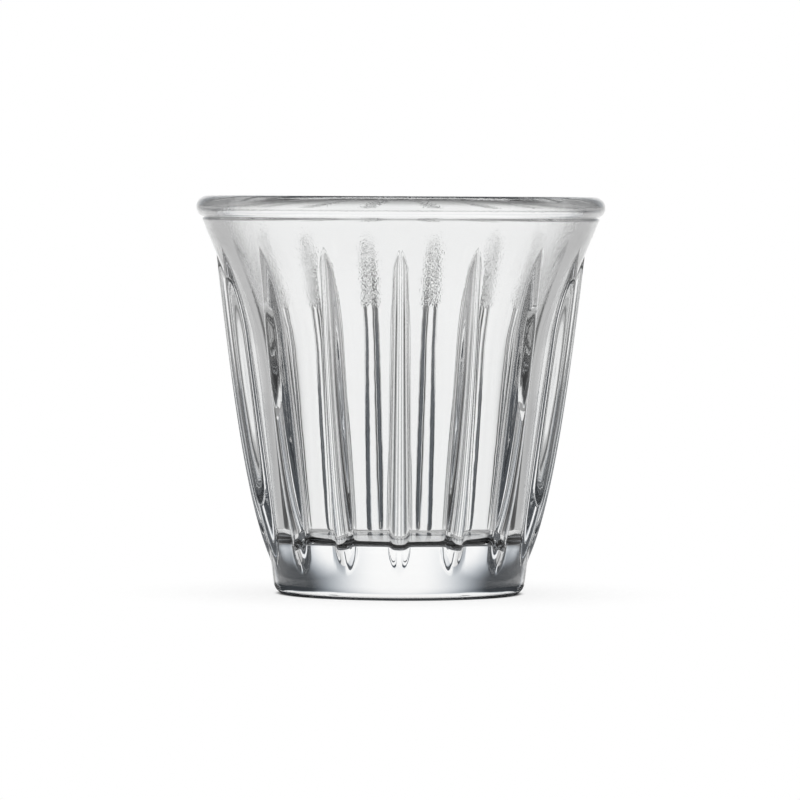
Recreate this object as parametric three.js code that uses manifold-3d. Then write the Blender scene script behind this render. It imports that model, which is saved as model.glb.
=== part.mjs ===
// Espresso cup of clear pressed glass, pressed in one piece: a bowl that flares to a rolled rim,
// round-nosed upright ribs outside and a thick plain foot. Millimetres, +Z up, with the origin
// at the centre of the foot, on the table.
import * as THREE from "three";
import { mergeVertices } from "three/addons/utils/BufferGeometryUtils.js";
import Module from "manifold-3d";

const wasm = await Module();
wasm.setup();

// Overall size
const CUP_HEIGHT = 68; // table to the top of the rim
const RIM_RADIUS = 35; // outermost, over the rim bead
const HEEL_RADIUS = 21.2; // the wall's cone carried down to the table

// Outer wall, as slopes of radius over height
const WALL_SLOPE = 0.14; // straight cone from the heel to the waist
const FLARE_HEIGHT = 24.1; // how far under the rim the cone starts to flare
const FLARE_SLOPE = 0.29; // straight flare under the bead
const WAIST_REACH = 9.3; // length of the flare curve's lower handle
const FLARE_REACH = 3.4; // length of its upper handle

// Rim bead and bowl
const BEAD_REACH = 2; // half the width of the rim's oval section
const BEAD_RISE = 1.9; // half its height
const BOWL_FLARE_SLOPE = 0.22; // inside of the flare, at the rim
const BOWL_SLOPE = 0.1; // inside cone under the flare
const BOWL_FLARE_HEIGHT = 33.3; // how far under the rim the inside cone starts to flare
const BOWL_WAIST_REACH = 20; // handles of the inside flare curve
const BOWL_FLARE_REACH = 4.4;
const WALL_AT_WAIST = 4.97; // glass between cone and bowl, measured across at the bowl's waist
const FLOOR_THICKNESS = 9.2; // table to the bowl's floor, at the centre
const FLOOR_ROUND = 3; // round between floor and bowl wall

// Foot
const HEEL_ROUND = 1.9; // round under the heel
const BEARING_WIDTH = 3.8; // flat ring that stands on the table
const PUNT_DEPTH = 0.7; // shallow hollow inside that ring

// Ribs
const RIB_COUNT = 15;
const RIB_FOOT_HEIGHT = 4.3; // where a rib grows out of the heel
const RIB_TIP_DROP = 8.3; // where it runs out on the flare, under the rim
const RIB_FOOT_PROUD = 2.38; // how far the lower handle of its back's curve stands off the cone
const RIB_TIP_PROUD = 3.28; // and the upper handle
const RIB_FOOT_REACH = 7.1; // height of those handles over the foot and under the tip
const RIB_TIP_REACH = 35;
const RIB_FOOT_NOSE = 1.75; // nose radius at the foot, from which it tapers evenly
const RIB_TIP_NOSE = 0.95; // nose radius that the taper would have at the tip
const RIB_POINT = 4.5; // length over which the nose narrows to a point under the tip
const RIB_END_NOSE = 0.12; // nose radius of the point itself
const RIB_DRAFT = THREE.MathUtils.degToRad(4); // lean of each flank
const RIB_ROOT = 1; // how deep its flanks are let into the wall
const RIB_END_SINK = 0.25; // how far its ends dip under the wall
const FRONT_RIB_ANGLE = -Math.PI / 2; // one rib faces -Y

// Facets
const AROUND = 60; // steps of a revolve
const CURVE_STEPS = 8; // steps along a free curve
const ROUND_STEPS = 5; // steps round a quarter or half round
const RIB_STEPS = 16; // sections along a rib
const NOSE_STEPS = 6; // steps over a rib's nose

const GLASS = new THREE.MeshStandardMaterial({
  color: 0xeef3f2,
  roughness: 0.03,
  metalness: 0,
  transparent: true,
  opacity: 0.35,
});

// A closed geometry as a solid that can be joined and cut.
function solidOf(geometry) {
  geometry.deleteAttribute("normal");
  geometry.deleteAttribute("uv");
  const merged = mergeVertices(geometry, 1e-4);
  const corners = merged.index.array;
  const triVerts = [];
  for (let i = 0; i < corners.length; i += 3) {
    const [a, b, c] = corners.slice(i, i + 3);
    if (a !== b && b !== c && c !== a) triVerts.push(a, b, c);
  }
  return new wasm.Manifold(
    new wasm.Mesh({
      numProp: 3,
      vertProperties: merged.attributes.position.array,
      triVerts: new Uint32Array(triVerts),
    }),
  );
}

// A solid as a geometry that a mesh can show.
function geometryOf(solid) {
  const made = solid.getMesh();
  const geometry = new THREE.BufferGeometry();
  geometry.setAttribute("position", new THREE.BufferAttribute(made.vertProperties, 3));
  geometry.setIndex(new THREE.BufferAttribute(made.triVerts, 1));
  geometry.computeVertexNormals();
  return geometry;
}

// A point of a section: x is the radius and y the height.
const at = (radius, height) => new THREE.Vector2(radius, height);

// A smooth curve between two points, each with its slope of radius over height and a handle.
function sweepBetween(start, startSlope, startReach, end, endSlope, endReach) {
  return new THREE.CubicBezierCurve(
    start,
    at(start.x + startSlope * startReach, start.y + startReach),
    at(end.x - endSlope * endReach, end.y - endReach),
    end,
  );
}

// The outer wall between the heel and the bead.
const wallCone = (height) => HEEL_RADIUS + WALL_SLOPE * height;
const beadCentre = at(RIM_RADIUS - BEAD_REACH, CUP_HEIGHT - BEAD_RISE);
const beadStart = THREE.MathUtils.degToRad(-55); // where the flare runs into the bead
const underBead = at(
  beadCentre.x + BEAD_REACH * Math.cos(beadStart),
  beadCentre.y + BEAD_RISE * Math.sin(beadStart),
);
const waistHeight = CUP_HEIGHT - FLARE_HEIGHT;
const waist = at(wallCone(waistHeight), waistHeight);
const flare = sweepBetween(waist, WALL_SLOPE, WAIST_REACH, underBead, FLARE_SLOPE, FLARE_REACH);

// The bowl inside, from the bead's inner side down to the floor.
const bowlLean = Math.atan((BOWL_FLARE_SLOPE * BEAD_RISE) / BEAD_REACH);
const insideBead = at(
  beadCentre.x - BEAD_REACH * Math.cos(bowlLean),
  beadCentre.y + BEAD_RISE * Math.sin(bowlLean),
);
const bowlWaistHeight = CUP_HEIGHT - BOWL_FLARE_HEIGHT;
const bowlWaist = at(wallCone(bowlWaistHeight) - WALL_AT_WAIST, bowlWaistHeight);
const bowlFlare = sweepBetween(
  bowlWaist,
  BOWL_SLOPE,
  BOWL_WAIST_REACH,
  insideBead,
  BOWL_FLARE_SLOPE,
  BOWL_FLARE_REACH,
);
const bowlFootHeight = FLOOR_THICKNESS + FLOOR_ROUND;
const bowlFootRadius = bowlWaist.x - BOWL_SLOPE * (bowlWaistHeight - bowlFootHeight);

// The cup's section, drawn once round the glass: under the foot, up the outside, over the rim
// and down the inside to the floor's centre.
function cupSection() {
  const bearingEdge = HEEL_RADIUS - HEEL_ROUND;
  const puntRadius = bearingEdge - BEARING_WIDTH;
  const punt = new THREE.QuadraticBezierCurve(
    at(0, PUNT_DEPTH),
    at(puntRadius / 2, PUNT_DEPTH),
    at(puntRadius, 0),
  );
  const heel = new THREE.QuadraticBezierCurve(
    at(bearingEdge, 0),
    at(HEEL_RADIUS, 0),
    at(wallCone(HEEL_ROUND), HEEL_ROUND),
  );
  const bead = new THREE.EllipseCurve(
    beadCentre.x,
    beadCentre.y,
    BEAD_REACH,
    BEAD_RISE,
    beadStart,
    Math.PI - bowlLean,
  );
  const floorRound = new THREE.QuadraticBezierCurve(
    at(bowlFootRadius, bowlFootHeight),
    at(bowlFootRadius - BOWL_SLOPE * FLOOR_ROUND, FLOOR_THICKNESS),
    at(bowlFootRadius - FLOOR_ROUND, FLOOR_THICKNESS),
  );
  const stretches = [
    punt.getPoints(2),
    heel.getPoints(ROUND_STEPS),
    flare.getPoints(CURVE_STEPS),
    bead.getPoints(2 * ROUND_STEPS),
    bowlFlare.getPoints(CURVE_STEPS).reverse(),
    floorRound.getPoints(ROUND_STEPS),
    [at(0, FLOOR_THICKNESS)],
  ];
  const same = 1e-6;
  return stretches
    .flat()
    .filter((p, i, all) => i === 0 || p.distanceTo(all[i - 1]) > same);
}

// The section turned round the upright axis.
function revolve(section) {
  const geometry = new THREE.LatheGeometry(section, AROUND);
  return solidOf(geometry.rotateX(Math.PI / 2));
}

// Radius of a rising curve at a height, found by halving.
function radiusOn(curve, height) {
  let low = 0;
  let high = 1;
  while (high - low > 1e-5) {
    const middle = (low + high) / 2;
    if (curve.getPoint(middle).y < height) low = middle;
    else high = middle;
  }
  return curve.getPoint(low).x;
}

// Radius of the outer wall at a height, from the flare's curve above the waist.
function wallRadius(height) {
  return height <= waistHeight ? wallCone(height) : radiusOn(flare, height);
}

// The back of a rib, from just under the heel's surface to just under the flare's.
const ribTipHeight = CUP_HEIGHT - RIB_TIP_DROP;
const ribEnd = (height) => at(wallRadius(height) - RIB_END_SINK, height);
const ribHandle = (height, proud) => at(wallCone(height) + proud, height);
const ribBack = new THREE.CubicBezierCurve(
  ribEnd(RIB_FOOT_HEIGHT),
  ribHandle(RIB_FOOT_HEIGHT + RIB_FOOT_REACH, RIB_FOOT_PROUD),
  ribHandle(ribTipHeight - RIB_TIP_REACH, RIB_TIP_PROUD),
  ribEnd(ribTipHeight),
);

// Nose radius of a rib at a share of its height: an even taper that narrows to a point.
function ribNose(share) {
  const full = THREE.MathUtils.lerp(RIB_FOOT_NOSE, RIB_TIP_NOSE, share);
  const underTip = (1 - share) * (ribTipHeight - RIB_FOOT_HEIGHT);
  const width = Math.sin((Math.PI / 2) * Math.min(underTip / RIB_POINT, 1));
  return THREE.MathUtils.lerp(RIB_END_NOSE, full, width);
}

// One level section of a rib: a round nose on two leaning flanks that end inside the wall.
// It is drawn with the rib pointing along +X.
function ribSection(share) {
  const height = THREE.MathUtils.lerp(RIB_FOOT_HEIGHT, ribTipHeight, share);
  const radius = ribNose(share);
  const centre = radiusOn(ribBack, height) - radius;
  const root = Math.min(wallRadius(height), centre) - RIB_ROOT;
  const quarter = Math.PI / 2 - RIB_DRAFT;
  const ring = [];
  for (let i = 0; i <= NOSE_STEPS; i++) {
    const turn = THREE.MathUtils.lerp(-quarter, quarter, i / NOSE_STEPS);
    const across = radius * Math.sin(turn);
    ring.push(new THREE.Vector3(centre + radius * Math.cos(turn), across, height));
  }
  const flankTop = ring[NOSE_STEPS];
  const spread = flankTop.y + (flankTop.x - root) * Math.tan(RIB_DRAFT);
  ring.push(new THREE.Vector3(root, spread, height));
  ring.push(new THREE.Vector3(root, -spread, height));
  return ring;
}

// A closed skin over a row of equal rings, each convex, with flat ends.
function loft(rings) {
  const size = rings[0].length;
  const points = rings.flat();
  const faces = [];
  for (let r = 0; r + 1 < rings.length; r++) {
    for (let i = 0; i < size; i++) {
      const a = r * size + i;
      const b = r * size + ((i + 1) % size);
      faces.push(a, b, b + size, a, b + size, a + size);
    }
  }
  const last = (rings.length - 1) * size;
  for (let i = 1; i + 1 < size; i++) {
    faces.push(0, i + 1, i);
    faces.push(last, last + i, last + i + 1);
  }
  const geometry = new THREE.BufferGeometry().setFromPoints(points);
  geometry.setIndex(faces);
  return geometry;
}

// All ribs, evenly spaced, joined to the revolved cup. Their sections lie closer near the ends.
function ribbedCup() {
  const rings = [];
  for (let i = 0; i <= RIB_STEPS; i++) {
    rings.push(ribSection((1 - Math.cos((Math.PI * i) / RIB_STEPS)) / 2));
  }
  let glass = revolve(cupSection());
  for (let i = 0; i < RIB_COUNT; i++) {
    const turn = FRONT_RIB_ANGLE + (2 * Math.PI * i) / RIB_COUNT;
    glass = glass.add(solidOf(loft(rings).rotateZ(turn)));
  }
  return glass;
}

const cup = new THREE.Group();
const glassBody = new THREE.Mesh(geometryOf(ribbedCup()), GLASS);
glassBody.name = "glass_body";
cup.add(glassBody);

export default cup;
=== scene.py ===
# %% [markdown]
# # A ribbed espresso cup in clear pressed glass
# The cup is one pressing: a bowl that flares to a rolled rim, upright ribs with round noses on the
# outside, and a thick foot. This lesson makes one fine mesh of it, gives it a glass finish and
# lights it the way glass is lit on a table: by bright panels with dark gaps between them.

# %% Load the measured model
import math
from functools import cache

import bmesh
import bpy
from mathutils import Euler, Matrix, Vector


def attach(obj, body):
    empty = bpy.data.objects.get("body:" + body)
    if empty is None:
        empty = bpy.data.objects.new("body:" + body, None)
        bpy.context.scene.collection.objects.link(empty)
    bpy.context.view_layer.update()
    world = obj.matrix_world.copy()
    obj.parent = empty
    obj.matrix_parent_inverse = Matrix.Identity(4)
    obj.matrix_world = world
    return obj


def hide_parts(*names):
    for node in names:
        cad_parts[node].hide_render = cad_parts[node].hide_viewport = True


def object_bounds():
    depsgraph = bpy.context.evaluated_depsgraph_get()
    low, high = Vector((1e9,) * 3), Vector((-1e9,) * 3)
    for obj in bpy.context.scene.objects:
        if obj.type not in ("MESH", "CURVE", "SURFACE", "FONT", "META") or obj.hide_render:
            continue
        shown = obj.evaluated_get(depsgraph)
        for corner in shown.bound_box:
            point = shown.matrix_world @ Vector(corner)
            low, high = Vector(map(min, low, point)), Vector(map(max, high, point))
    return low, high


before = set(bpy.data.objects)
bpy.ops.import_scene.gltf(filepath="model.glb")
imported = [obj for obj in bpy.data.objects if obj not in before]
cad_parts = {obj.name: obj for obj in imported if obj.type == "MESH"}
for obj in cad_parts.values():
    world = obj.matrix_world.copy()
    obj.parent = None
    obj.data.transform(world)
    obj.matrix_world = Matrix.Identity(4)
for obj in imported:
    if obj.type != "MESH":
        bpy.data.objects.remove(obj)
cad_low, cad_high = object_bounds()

print("CAD box", tuple(cad_low), tuple(cad_high))

# %% [markdown]
# ## Camera first
# The photograph was taken from far away with a long lens, at the height of the rim: the rim is
# almost a straight line and the foot a shallow arc. The lens could be guessed, but it is worked
# out from the rim's width in pixels, so that the picture is to scale. The camera stands in front
# of the cup, on -Y, and is rolled by a fraction of a degree as the photograph is.

# %% Camera
image_size = 800  # pixels, both ways
sensor_width = 36.0  # millimetres
rim_pixels = 409.0  # width of the rim in the photograph
camera_distance = 1.1
camera_height = 0.068
aim_height = 0.0331
camera_roll = math.radians(0.27)

rim_width = cad_high.x - cad_low.x
lens = rim_pixels / image_size * sensor_width * camera_distance / rim_width
camera_data = bpy.data.cameras.new("photo_camera")
camera_data.sensor_width = sensor_width
camera_data.lens = lens
camera_data.clip_end = 20.0
camera = bpy.data.objects.new("photo_camera", camera_data)
bpy.context.scene.collection.objects.link(camera)
camera.location = (0.0, -camera_distance, camera_height)
sight = Vector((0.0, 0.0, aim_height)) - camera.location
roll = Euler((0, 0, camera_roll)).to_quaternion()
camera.rotation_euler = (sight.to_track_quat("-Z", "Y") @ roll).to_euler()
bpy.context.scene.camera = camera
print(f"lens {lens:.0f} mm at {camera_distance} m")

# %% [markdown]
# ## The section
# A pressed glass is drawn as half a section: under the foot, up the outside, over the rim and down
# the inside. The outside is a straight cone that flares near the top, and each curve is a Bezier
# stretch with a slope (radius over height) at both ends.

# %% Sizes of the section, in metres
cup_height = cad_high.z
rim_radius = cad_high.x
heel_radius = 0.0212
wall_slope = 0.14
flare_height = 0.0241
flare_slope = 0.29
waist_reach = 0.0093
flare_reach = 0.0034
bead_reach = 0.002
bead_rise = 0.0019
bowl_flare_slope = 0.22
bowl_slope = 0.1
bowl_flare_height = 0.0333
bowl_waist_reach = 0.02
bowl_flare_reach = 0.0044
wall_at_waist = 0.00497
floor_thickness = 0.0092
floor_round = 0.003
heel_round = 0.0019
bearing_width = 0.0038
punt_depth = 0.0007
seam_width = 0.0004
seam_depth = 0.00045


def at(radius, height):
    """A point of the section."""
    return Vector((radius, height))


def curve_point(curve, share):
    """A point of a Bezier stretch given as its two ends and two handles."""
    a, b, c, d = curve
    rest = 1.0 - share
    return a * rest**3 + b * (3 * rest**2 * share) + c * (3 * rest * share**2) + d * share**3


finest_share = 1e-8  # of a stretch, where the halving stops


def radius_on(curve, height):
    """The radius of a rising Bezier stretch at a height, found by halving."""
    low, high = 0.0, 1.0
    while high - low > finest_share:
        middle = (low + high) / 2
        if curve_point(curve, middle).y < height:
            low = middle
        else:
            high = middle
    return curve_point(curve, low).x


def rising(start, start_slope, start_reach, end, end_slope, end_reach):
    """A rising Bezier stretch from its ends, with a slope and a reach upwards at both."""
    return (
        start,
        at(start.x + start_slope * start_reach, start.y + start_reach),
        at(end.x - end_slope * end_reach, end.y - end_reach),
        end,
    )


def wall_cone(height):
    """The radius of the straight cone that the outside follows up to the waist."""
    return heel_radius + wall_slope * height


bead_start = math.radians(-55)  # where the flare runs into the rim


def bead_point(turn):
    """A point of the rim's oval section; turn 0 is outermost and a quarter turn is on top."""
    centre = at(rim_radius - bead_reach, cup_height - bead_rise)
    return centre + at(bead_reach * math.cos(turn), bead_rise * math.sin(turn))


under_bead = bead_point(bead_start)
waist_height = cup_height - flare_height
waist = at(wall_cone(waist_height), waist_height)
flare = rising(waist, wall_slope, waist_reach, under_bead, flare_slope, flare_reach)
bead_end = math.pi - math.atan(bowl_flare_slope * bead_rise / bead_reach)
inside_bead = bead_point(bead_end)
bowl_waist_height = cup_height - bowl_flare_height
bowl_waist = at(wall_cone(bowl_waist_height) - wall_at_waist, bowl_waist_height)
bowl_flare = rising(
    bowl_waist, bowl_slope, bowl_waist_reach, inside_bead, bowl_flare_slope, bowl_flare_reach
)
bowl_foot_height = floor_thickness + floor_round
bowl_foot_radius = bowl_waist.x - bowl_slope * (bowl_waist_height - bowl_foot_height)


@cache
def wall_radius(height):
    """The radius of the outside between the ribs at a height."""
    return wall_cone(height) if height <= waist_height else radius_on(flare, height)


print(f"waist {waist.x * 1000:.2f} mm, bowl foot {bowl_foot_radius * 1000:.2f} mm")

# %% [markdown]
# ### Rows of the section
# The section becomes a chain of points, and each point will be a row of the mesh. Rows are close
# together where the shape turns fast: round the heel, at both ends of the ribs and over the rim.
# The crease under the rim is one row that is set into the glass.

# %% Rows under the foot
def spread(start, end, steps):
    """Evenly spaced numbers from start towards end, without the end itself."""
    return [start + (end - start) * i / steps for i in range(steps)]


def round_corner(start, corner, end, steps):
    """A quadratic corner from start to end, without the end itself."""
    rows = []
    for share in spread(0.0, 1.0, steps):
        rest = 1.0 - share
        rows.append(start * rest**2 + corner * (2 * rest * share) + end * share**2)
    return rows


punt_rows, bearing_rows, heel_rows = 5, 3, 7
bearing_edge = heel_radius - heel_round
punt_radius = bearing_edge - bearing_width
punt_middle = at(0, punt_depth)
heel_top = at(wall_cone(heel_round), heel_round)

under = round_corner(punt_middle, at(punt_radius / 2, punt_depth), at(punt_radius, 0), punt_rows)
under += [at(radius, 0) for radius in spread(punt_radius, bearing_edge, bearing_rows)]
under += round_corner(at(bearing_edge, 0), at(heel_radius, 0), heel_top, heel_rows)
print("rows under the foot", len(under))

# %% Up the outside
tongue_top = 0.010  # below it the ribs' tongues need close rows
tip_bottom = 0.046  # above it the ribs' pointed ends do
tongue_rows, middle_rows, tip_rows = 22, 26, 40
seam_height = under_bead.y - seam_width

wall_heights = spread(heel_round, tongue_top, tongue_rows)
wall_heights += spread(tongue_top, tip_bottom, middle_rows)
wall_heights += spread(tip_bottom, seam_height, tip_rows) + [seam_height]
wall = [at(wall_radius(height), height) for height in wall_heights]
print("rows up the outside", len(wall))

# %% Over the rim and down the bowl
bead_rows, bowl_flare_rows, bowl_rows = 18, 24, 8
floor_round_rows, bowl_floor_rows = 9, 4
seam_middle = seam_height + seam_width / 2
bowl_floor_edge = bowl_foot_radius - floor_round

over = [at(wall_radius(seam_middle) - seam_depth, seam_middle)]
over += [bead_point(turn) for turn in spread(bead_start, bead_end, bead_rows)]
over += [curve_point(bowl_flare, share) for share in spread(1.0, 0.0, bowl_flare_rows)]
over += [
    at(bowl_waist.x - bowl_slope * (bowl_waist_height - height), height)
    for height in spread(bowl_waist_height, bowl_foot_height, bowl_rows)
]
over += round_corner(
    at(bowl_foot_radius, bowl_foot_height),
    at(bowl_foot_radius - bowl_slope * floor_round, floor_thickness),
    at(bowl_floor_edge, floor_thickness),
    floor_round_rows,
)
bowl_floor = spread(bowl_floor_edge, 0.0, bowl_floor_rows)
over += [at(radius, floor_thickness) for radius in bowl_floor]
over += [at(0, floor_thickness)]
section = under + wall + over
print("rows in the section", len(section))

# %% [markdown]
# ## The ribs
# Each rib is a round-nosed bar with slightly leaning flanks. Seen from above, its outline at any
# height is the wall's circle joined to that bar, with a small round in the corner between them.
# The mesh keeps a fan of columns on every rib, so that nose, flank and corner all have edges that
# run along them.

# %% Rib sizes
rib_count = 15
rib_foot_height = 0.0043
rib_tip_drop = 0.0083
rib_foot_proud = 0.00238
rib_tip_proud = 0.00328
rib_foot_reach = 0.0071
rib_tip_reach = 0.035
rib_foot_nose = 0.00175
rib_tip_nose = 0.00095
rib_point = 0.0045
rib_end_nose = 0.00012
rib_draft = math.radians(4)
rib_foot_corner = 0.0004
rib_tip_corner = 0.0002
rib_end_sink = 0.00025

rib_tip_height = cup_height - rib_tip_drop
foot_handle = rib_foot_height + rib_foot_reach
tip_handle = rib_tip_height - rib_tip_reach
rib_back = (
    at(wall_radius(rib_foot_height) - rib_end_sink, rib_foot_height),
    at(wall_cone(foot_handle) + rib_foot_proud, foot_handle),
    at(wall_cone(tip_handle) + rib_tip_proud, tip_handle),
    at(wall_radius(rib_tip_height) - rib_end_sink, rib_tip_height),
)
rib_foot_slope = (rib_back[1].x - rib_back[0].x) / rib_foot_reach
rib_tip_slope = (rib_back[3].x - rib_back[2].x) / rib_tip_reach


@cache
def back_radius(height):
    """How far out a rib's back is; past its ends it runs on straight, under the wall."""
    if height < rib_foot_height:
        return rib_back[0].x + rib_foot_slope * (height - rib_foot_height)
    if height > rib_tip_height:
        return rib_back[3].x + rib_tip_slope * (height - rib_tip_height)
    return radius_on(rib_back, height)


half_way = cup_height / 2
rib_stands = back_radius(half_way) - wall_radius(half_way)
print(f"a rib stands {rib_stands * 1000:.2f} mm proud half-way up")

# %% Rib outline
def rib_shape(height):
    """Nose radius and corner round of a rib at a height."""
    rise = (height - rib_foot_height) / (rib_tip_height - rib_foot_height)
    rise = min(max(rise, 0.0), 1.0)
    nose = rib_foot_nose + (rib_tip_nose - rib_foot_nose) * rise
    under_tip = max(rib_tip_height - height, 0.0)
    width = math.sin(math.pi / 2 * min(under_tip / rib_point, 1.0))
    nose = rib_end_nose + (nose - rib_end_nose) * width
    return nose, rib_foot_corner + (rib_tip_corner - rib_foot_corner) * rise


def outside_by(across, out, height):
    """How far a point lies outside the ribbed outline; below zero it is inside the glass."""
    nose, corner = rib_shape(height)
    from_centre = out - (back_radius(height) - nose)
    if math.atan2(across, from_centre) < math.pi / 2 - rib_draft:
        from_bar = math.hypot(across, from_centre) - nose
    else:
        from_bar = across * math.cos(rib_draft) + from_centre * math.sin(rib_draft) - nose
    from_wall = math.hypot(across, out) - wall_radius(height)
    nearer = max(corner, min(from_bar, from_wall))
    return nearer - math.hypot(max(corner - from_bar, 0.0), max(corner - from_wall, 0.0))


print("nose and corner half-way up", rib_shape(half_way))

# %% Columns on one rib
fan_depth = 0.0012  # the fan's rays start this far inside the wall
fan_reach = 0.02
finest_reach = 1e-9  # where the halving stops
fan_degrees = [0, 2.5, 5, 7.5, 10, 12.5, 15, 18, 21, 25, 30, 36, 43, 51, 59, 67]
land_columns = 3
last_fan = len(fan_degrees) - 1
half_columns = last_fan + land_columns
columns = 2 * half_columns * rib_count
half_sector = math.pi / rib_count


def fan_point(height, column):
    """Across and out of one fan column, where its ray leaves the glass."""
    turn = math.radians(fan_degrees[column])
    start = wall_radius(height) - fan_depth
    low, high = 0.0, fan_reach
    while high - low > finest_reach:
        reach = (low + high) / 2
        if outside_by(reach * math.sin(turn), start + reach * math.cos(turn), height) < 0:
            low = reach
        else:
            high = reach
    return low * math.sin(turn), start + low * math.cos(turn)


def outline_point(height, column):
    """Across and out of any column from a rib's middle to the middle of the land beside it."""
    if column <= last_fan:
        return fan_point(height, column)
    across, out = fan_point(height, last_fan)
    edge = math.atan2(across, out)
    turn = edge + (half_sector - edge) * (column - last_fan) / land_columns
    radius = wall_radius(height)
    return radius * math.sin(turn), radius * math.cos(turn)


print("columns", columns)

# %% [markdown]
# ## Spin and press
# The section is spun once round the axis. The spin gives evenly spaced columns, and each outside
# point is then pressed to its place on the ribbed outline, as the mould does.

# %% Spin the section
merge_distance = 1e-7
body = bmesh.new()
row_of = body.verts.layers.int.new("row")
points = []
for row, place in enumerate(section):
    point = body.verts.new((0.0, -place.x, place.y))
    point[row_of] = row
    points.append(point)
edges = [body.edges.new(pair) for pair in zip(points, points[1:])]
bmesh.ops.spin(
    body,
    geom=points + edges,
    cent=(0, 0, 0),
    axis=(0, 0, 1),
    angle=math.tau,
    steps=columns,
    use_merge=True,
)
bmesh.ops.remove_doubles(body, verts=body.verts[:], dist=merge_distance)
print("spun", len(body.verts), "points")

# %% Press the ribs
on_axis = 1e-6
first_wall = len(under)
last_wall = len(under) + len(wall) - 1


@cache
def pressed_place(row, column):
    """Where a spun point goes, as across and out from its rib's middle plane."""
    nearest = min(max(row, first_wall), last_wall)
    across, out = outline_point(section[nearest].y, column)
    if nearest == row:
        return across, out
    turn = math.atan2(across, out)
    return section[row].x * math.sin(turn), section[row].x * math.cos(turn)


for point in body.verts:
    if math.hypot(point.co.x, point.co.y) < on_axis:
        continue
    turn = math.atan2(point.co.y, point.co.x) + math.pi / 2
    column = round(turn / math.tau * columns) % columns
    rib = (column + half_columns) // (2 * half_columns)
    beside = column - rib * 2 * half_columns
    across, out = pressed_place(point[row_of], abs(beside))
    across = math.copysign(across, beside)
    rib_turn = rib * math.tau / rib_count - math.pi / 2
    ahead = Vector((math.cos(rib_turn), math.sin(rib_turn), 0.0))
    aside = Vector((-math.sin(rib_turn), math.cos(rib_turn), 0.0))
    point.co = ahead * out + aside * across + Vector((0.0, 0.0, point.co.z))
body.verts.layers.int.remove(row_of)
print("pressed", rib_count, "ribs")

# %% Make the cup
bmesh.ops.recalc_face_normals(body, faces=body.faces[:])
for face in body.faces:
    face.smooth = True
mesh = bpy.data.meshes.new("glass_cup")
body.to_mesh(mesh)
triangles = sum(len(face.verts) - 2 for face in body.faces)
print("glass", body.calc_volume() * 1e6, "ml, triangles", triangles)
body.free()
cup = bpy.data.objects.new("glass_cup", mesh)
bpy.context.scene.collection.objects.link(cup)

# %% [markdown]
# ## Wiring nodes
# Every finish below is a small net of nodes. Nodes can be dragged together by hand in the shader
# editor, or made in a script. A helper that adds a node, fills its sockets and gives back its
# output keeps the script readable, because a net then reads like a sum.

# %% A short way to wire nodes
class Wiring:
    """Adds nodes to one tree and joins them."""

    def __init__(self, tree):
        self.tree = tree

    def node(self, kind, **settings):
        made = self.tree.nodes.new(kind)
        for name, value in settings.items():
            setattr(made, name, value)
        return made

    def feed(self, socket, value):
        if isinstance(value, bpy.types.NodeSocket):
            self.tree.links.new(value, socket)
        else:
            socket.default_value = value

    def math(self, operation, *values):
        made = self.node("ShaderNodeMath", operation=operation)
        for socket, value in zip(made.inputs, values):
            self.feed(socket, value)
        return made.outputs[0]

    def fill(self, made, given):
        for name, setting in given.items():
            self.feed(made.inputs[name], setting)

    def ramp(self, value, low, high, to_low=0.0, to_high=1.0):
        made = self.node("ShaderNodeMapRange", interpolation_type="SMOOTHSTEP")
        self.fill(made, {"Value": value, "From Min": low, "From Max": high})
        self.fill(made, {"To Min": to_low, "To Max": to_high})
        return made.outputs[0]

    def mix(self, share, first, second):
        made = self.node("ShaderNodeMix", data_type="FLOAT")
        self.fill(made, {"Factor": share, "A": first, "B": second})
        return made.outputs["Result"]

    def noise(self, place, scale, detail):
        made = self.node("ShaderNodeTexNoise")
        self.fill(made, {"Vector": place, "Scale": scale, "Detail": detail})
        return made.outputs[0]


# %% [markdown]
# ## Glass
# The cup is clear soda-lime glass with a breath of green in it. A glass shader alone looks like
# optical crystal. Pressed glass shows its mould: shallow waves all over, a little less polish in
# places, and a fine grain on the flare, which shows where a rib at the back is seen through it.
# Modelling those as geometry would take millions of faces, so they are bump and roughness. The
# noise is read in Object coordinates, in metres, so that its size is that of the real marks.

# %% Glass material
glass_index = 1.52
glass_colour = (0.997, 1.0, 0.999, 1.0)
wave_scale = 350.0  # waves a few millimetres long
grain_scale = 4500.0  # grains a few tenths of a millimetre across
grain_bottom = 0.0492
grain_full = 0.0505
grain_height = 1.5  # in wave heights
wave_height = 0.000005
polished_up_to = 0.35  # of the wave noise
dull_from = 0.75
most_roughness = 0.02

glass = bpy.data.materials.new("clear_pressed_glass")
glass.use_nodes = True
shader = glass.node_tree.nodes["Principled BSDF"]
wire = Wiring(glass.node_tree)
place = wire.node("ShaderNodeTexCoord").outputs["Object"]
part = wire.node("ShaderNodeSeparateXYZ")
wire.feed(part.inputs[0], place)
grain = wire.noise(place, grain_scale, detail=0.0)
waves = wire.noise(place, wave_scale, detail=1.0)
on_flare = wire.ramp(part.outputs[2], grain_bottom, grain_full, 0.0, grain_height)
bump = wire.node("ShaderNodeBump")
wire.feed(bump.inputs["Strength"], 1.0)
wire.feed(bump.inputs["Distance"], wave_height)
wire.feed(bump.inputs["Height"], wire.math("MULTIPLY_ADD", grain, on_flare, waves))
wire.feed(shader.inputs["Normal"], bump.outputs[0])
roughness = wire.ramp(waves, polished_up_to, dull_from, 0.0, most_roughness)
wire.feed(shader.inputs["Roughness"], roughness)
shader.inputs["Base Color"].default_value = glass_colour
shader.inputs["IOR"].default_value = glass_index
shader.inputs["Transmission Weight"].default_value = 1.0
mesh.materials.append(glass)
print("glass nodes", len(glass.node_tree.nodes))

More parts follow.
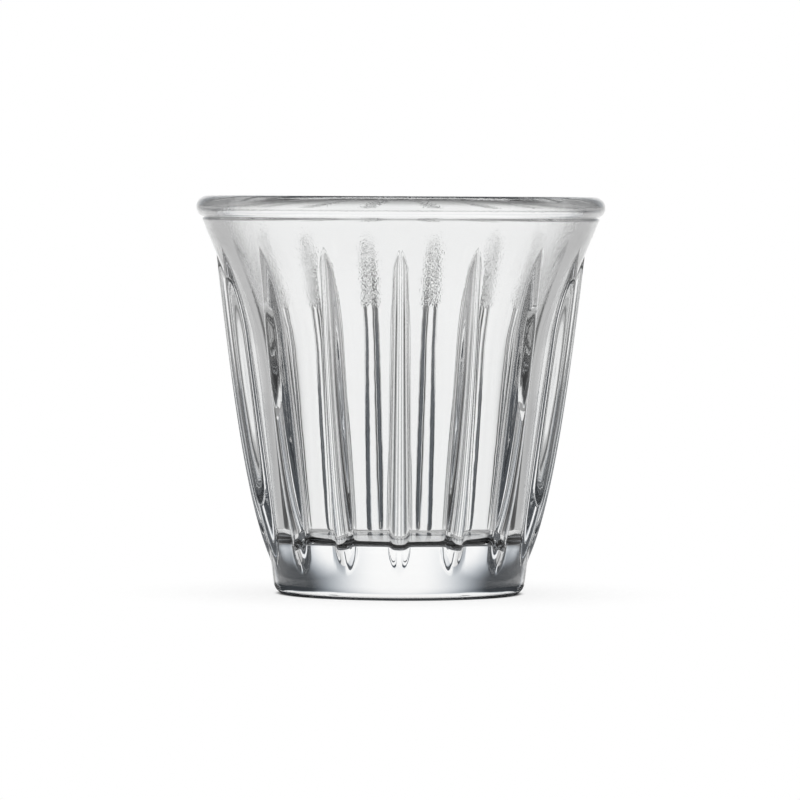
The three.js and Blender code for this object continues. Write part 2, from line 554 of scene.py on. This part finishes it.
# %% Tie the cup to the measured model
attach(cup, "root")
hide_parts("glass_body")
print(cup.name, "rides on root and replaces glass_body")

# %% [markdown]
# ## Floor
# The cup stands on white paper. A large plane would do, but its edge and its grey would show
# behind the cup, so this is a small round sheet that fades into the white background. Where the
# foot touches the paper, a thin dark ring of painted contact shadow is set in the paper's colour,
# with a paler painted shade under the hollow of the foot, and that ring is what makes a glass stand
# instead of float. Light that the glass mirrors down on to the paper finds it painted darker near
# the foot.
# Straight through the glass, the sheet ends close to the foot and gives way to the wider table
# that the light tent brings, so that no round edge shows in the bowl.

# %% Floor sheet
floor_radius = 0.055
floor_corners = 96
floor_mesh = bpy.data.meshes.new("floor")
disc = bmesh.new()
bmesh.ops.create_circle(disc, cap_ends=True, radius=floor_radius, segments=floor_corners)
disc.to_mesh(floor_mesh)
disc.free()
floor = bpy.data.objects.new("floor", floor_mesh)
bpy.context.scene.collection.objects.link(floor)
print("floor", floor_radius * 2000, "mm across")

# %% How far out the paper carries painted contact shadow and painted shade, or is clear
# The painted contact shadow is a thin dark ring in the paper's colour round the foot.
contact_edge = bearing_edge + 0.0008
contact_end = heel_radius + 0.0006
# Under the hollow of the foot the paper is painted a little darker: painted shade.
hollow_edge = bearing_edge - 0.003  # under the hollow of the foot
hollow_end = bearing_edge - 0.001
fade_edge = 0.022
fade_end = floor_radius * 0.95
# Within these the paper is painted darker for light that the glass mirrors down: painted shade.
shade_edge = heel_radius + 0.005
shade_end = heel_radius + 0.011
sheet_edge = heel_radius + 0.0015  # of what is seen of the sheet through the glass
sheet_end = heel_radius + 0.009
# How dark the painted contact shadow and the painted shade under the hollow are.
painted_contact_shadow_level = 0.03
painted_hollow_shade_level = 0.85

paper = bpy.data.materials.new("white_paper")
paper.use_nodes = True
wire = Wiring(paper.node_tree)
wire.tree.nodes.clear()
length = wire.node("ShaderNodeVectorMath", operation="LENGTH")
wire.feed(length.inputs[0], wire.node("ShaderNodeTexCoord").outputs["Object"])
distance = length.outputs["Value"]
# Painted contact shadow and painted shade under the hollow, as one factor on the paper's colour.
outside = wire.ramp(distance, contact_edge, contact_end, painted_contact_shadow_level, 1.0)
inside = wire.ramp(distance, hollow_edge, hollow_end, painted_hollow_shade_level, 0.0)
painted_contact_shade = wire.math("MAXIMUM", outside, inside)
print("contact ring", contact_edge * 2000, "to", contact_end * 2000, "mm across")

# %% Paper material
paper_white = 0.97
own_glow = 0.75
# How much darker the paper is painted near the foot for light that the glass mirrors: painted
# shade.
painted_mirror_shade_strength = 0.94

fade = wire.ramp(distance, fade_edge, fade_end)
# Near the foot the paper's white glow is dimmed by the same painted contact shadow.
fade = wire.mix(fade, wire.math("MULTIPLY", painted_contact_shade, own_glow), 1.0)
light_path = wire.node("ShaderNodeLightPath")
mirrored = wire.math("GREATER_THAN", light_path.outputs["Glossy Depth"], 0.5)
straight = wire.mix(mirrored, light_path.outputs["Is Transmission Ray"], 0.0)
seen = wire.math("MAXIMUM", light_path.outputs["Is Camera Ray"], straight)
# Rays mirrored by the glass see the paper painted darker near the foot: painted shade.
painted_mirror_shade = wire.ramp(distance, shade_end, shade_edge, 0.0, painted_mirror_shade_strength)
white = wire.math("SUBTRACT", paper_white, wire.math("MULTIPLY", painted_mirror_shade, mirrored))
# The paper's colour with its painted contact shadow and painted shade.
paper_colour_with_painted_shade = wire.node("ShaderNodeCombineColor")
for socket in paper_colour_with_painted_shade.inputs:
    wire.feed(socket, wire.math("MULTIPLY", painted_contact_shade, white))
matt = wire.node("ShaderNodeBsdfDiffuse")
wire.feed(matt.inputs["Color"], paper_colour_with_painted_shade.outputs[0])
glow = wire.node("ShaderNodeEmission")
glow.inputs["Strength"].default_value = 1.0
clear = wire.node("ShaderNodeBsdfTransparent")


def blend(share, first, second):
    """Mixes two finishes of the paper."""
    made = wire.node("ShaderNodeMixShader")
    wire.feed(made.inputs[0], share)
    wire.feed(made.inputs[1], first)
    wire.feed(made.inputs[2], second)
    return made.outputs[0]


sheet = blend(wire.math("MULTIPLY", fade, seen), matt.outputs[0], glow.outputs[0])
past_sheet = wire.math("MULTIPLY", wire.ramp(distance, sheet_edge, sheet_end), straight)
surface = blend(past_sheet, sheet, clear.outputs[0])
wire.feed(wire.node("ShaderNodeOutputMaterial").inputs["Surface"], surface)
floor_mesh.materials.append(paper)
print("paper nodes", len(paper.node_tree.nodes))

# %% [markdown]
# ## Light
# Clear glass has no colour of its own: what is seen in it is the room, bent. Lamps show up in
# every rib as hard spots, so a glass is lit by a tent of white panels instead, with dark gaps
# between the panels, and the gaps draw the edges. Here the world itself is the tent. Its panels
# stand before and behind the cup, at its sides and on the diagonals, so that the glass is clear
# from all round. The gaps between them are upright, and it is dark straight below.

# %% Directions in the tent
world = bpy.data.worlds.new("light_tent")
bpy.context.scene.world = world
world.use_nodes = True
wire = Wiring(world.node_tree)
wire.tree.nodes.clear()
way = wire.node("ShaderNodeSeparateXYZ")
wire.feed(way.inputs[0], wire.node("ShaderNodeTexCoord").outputs["Generated"])
way_x, way_y, way_z = way.outputs
side_x = wire.math("ABSOLUTE", way_x)
side_y = wire.math("ABSOLUTE", way_y)
turned = wire.math("ARCTAN2", side_x, side_y)


def by_height(low, high, at_low=0.0, at_high=1.0):
    """A level that changes between two heights of view, in degrees above the horizon."""
    start, end = math.sin(math.radians(low)), math.sin(math.radians(high))
    return wire.ramp(way_z, start, end, at_low, at_high)


def by_turn(low, high, at_low=0.0, at_high=1.0):
    """A level that changes between two turns from straight ahead or back, in degrees."""
    return wire.ramp(turned, math.radians(low), math.radians(high), at_low, at_high)


def gap(middle, core, edge, level):
    """A soft upright gap in white: its level at the core and 1 past its edge, in degrees."""
    off = wire.math("ABSOLUTE", wire.math("SUBTRACT", turned, math.radians(middle)))
    return wire.ramp(off, math.radians(core), math.radians(edge), level, 1.0)


panel_core = math.radians(7.5)
panel_edge = math.radians(36)


def panel(facing):
    """A round soft panel that faces the cup along one axis."""
    return wire.ramp(wire.math("ARCCOSINE", facing), panel_edge, panel_core)


print("nodes for the directions", len(world.node_tree.nodes))

# %% [markdown]
# ### What is seen straight through the glass
# Near the horizon the tent shows its upright panels and gaps. Higher up only the panels before and
# behind and a narrow one at each side are left, with a top light before and behind that draws the
# white line round the heel. Each soft edge below is a pair of angles in degrees: the first is where
# a panel has gone, the second is where it is full.

# %% Straight through: upright panels
gap_level = 0.05
middle_edges = (22, 11)
outer_edges = (24, 38)
outer_level = 0.95
outer_gap = gap(middle=67, core=4, edge=16, level=0.55)
side_edges = (68, 82)
upright_heights = (4, 2)
top_heights = (11, 15)
top_edges = (24, 14)

outer_panels = wire.math("MULTIPLY", by_turn(*outer_edges, 0.0, outer_level), outer_gap)
low_panels = wire.math("MAXIMUM", by_turn(*middle_edges), outer_panels)
high_panels = wire.math("MAXIMUM", panel(side_y), by_turn(*side_edges))
low_part = wire.mix(low_panels, gap_level, 1.0)
high_part = wire.mix(high_panels, gap_level, 1.0)
through = wire.mix(by_height(*upright_heights), high_part, low_part)
top_light = wire.math("MULTIPLY", by_height(*top_heights), by_turn(*top_edges))
through = wire.math("MAXIMUM", through, top_light)
print("nodes with the panels", len(world.node_tree.nodes))

# %% [markdown]
# ### The table through the glass
# Below the horizon lies the table. It gets dark under the cup, sooner before and behind than on
# the diagonals. The rim bends its lines of sight down on to it, and that draws the dark edge along
# the top of the rim.

# %% Straight through: table
table_heights = (-8, -13)
table_gap = gap(middle=27, core=4, edge=13, level=0.6)
table_dark = 0.06
near_fade = (-11, -48)  # from white to dark
diagonal_fade = (-20, -48)
diagonal_edges = (26, 38)

through = wire.mix(by_height(*table_heights), through, table_gap)
near_table = by_height(*near_fade, 1.0, table_dark)
diagonal_table = by_height(*diagonal_fade, 1.0, table_dark)
table = wire.mix(by_turn(*diagonal_edges), near_table, diagonal_table)
through = wire.math("MULTIPLY", through, table)
print("nodes for the view through the glass", len(world.node_tree.nodes))

# %% [markdown]
# ### What is mirrored in the glass
# Ribs and rim also mirror light, once or many times, and if they mirrored the bright tent the cup
# would be a pale veil. So mirrored rays see a dim room with the panel at the back, a pale table
# below the horizon and dark walls at the sides. Light Path tells the two kinds of ray apart.

# %% Mirrored
room_level = 0.07
room_low_level = 0.5
room_front_level = 0.12
room_side_level = 0.1
room_under_level = 0.2
low_heights = (2, -3)
under_heights = (-33, -52)
front_edges = (-0.5, -0.9)  # of the way's Y
side_wall_edges = (0.86, 0.98)  # of the way's X
back_heights = (-17, -10)

room = by_height(*low_heights, room_level, room_low_level)
room = wire.mix(wire.ramp(way_y, *front_edges), room, room_front_level)
side_walls = wire.ramp(side_x, *side_wall_edges, 1.0, room_side_level)
room = wire.math("MULTIPLY", room, side_walls)
room = wire.math("MULTIPLY", room, by_height(*under_heights, 1.0, room_under_level))
back_panel = wire.math("MULTIPLY", panel(way_y), by_height(*back_heights))
in_mirror = wire.mix(back_panel, room, 1.0)
print("nodes with the mirrored room", len(world.node_tree.nodes))

# %% [markdown]
# ### Joining the light
# The camera and the paper see plain white, and the glass sees the tent or the room. The dark parts
# of the tent are a little blue above the horizon, as unlit paper is in a white room.

# %% Join the light
cool_shade = (0.86, 0.97, 1.1, 1.0)
cool_heights = (5, 1)
plain_white = (1.0, 1.0, 1.0, 1.0)
path_taken = wire.node("ShaderNodeLightPath")
bounced = wire.math("GREATER_THAN", path_taken.outputs["Glossy Depth"], 0.5)
on_paper = wire.math("GREATER_THAN", path_taken.outputs["Diffuse Depth"], 0.5)
plain = wire.math("MAXIMUM", path_taken.outputs["Is Camera Ray"], on_paper)
strength = wire.mix(plain, wire.mix(bounced, through, in_mirror), 1.0)
tint = wire.node("ShaderNodeMix", data_type="RGBA")
wire.feed(tint.inputs["Factor"], wire.math("MAXIMUM", strength, by_height(*cool_heights)))
tint.inputs["A"].default_value = cool_shade
tint.inputs["B"].default_value = plain_white
background = wire.node("ShaderNodeBackground")
wire.feed(background.inputs["Color"], tint.outputs["Result"])
wire.feed(background.inputs["Strength"], strength)
wire.feed(wire.node("ShaderNodeOutputWorld").inputs["Surface"], background.outputs[0])
print("world nodes", len(world.node_tree.nodes))

# %% [markdown]
# ## Bounces
# A ray can run a long way inside a rib before it gets out. With the usual dozen bounces the ribs
# would fill with black, so more are allowed. Colours are shown as they are, with no film curve.

# %% Bounces and view
most_bounces = 40
scene = bpy.context.scene
scene.view_settings.view_transform = "Standard"
scene.cycles.max_bounces = most_bounces
scene.cycles.transmission_bounces = most_bounces
scene.cycles.glossy_bounces = most_bounces
print("bounces", most_bounces)
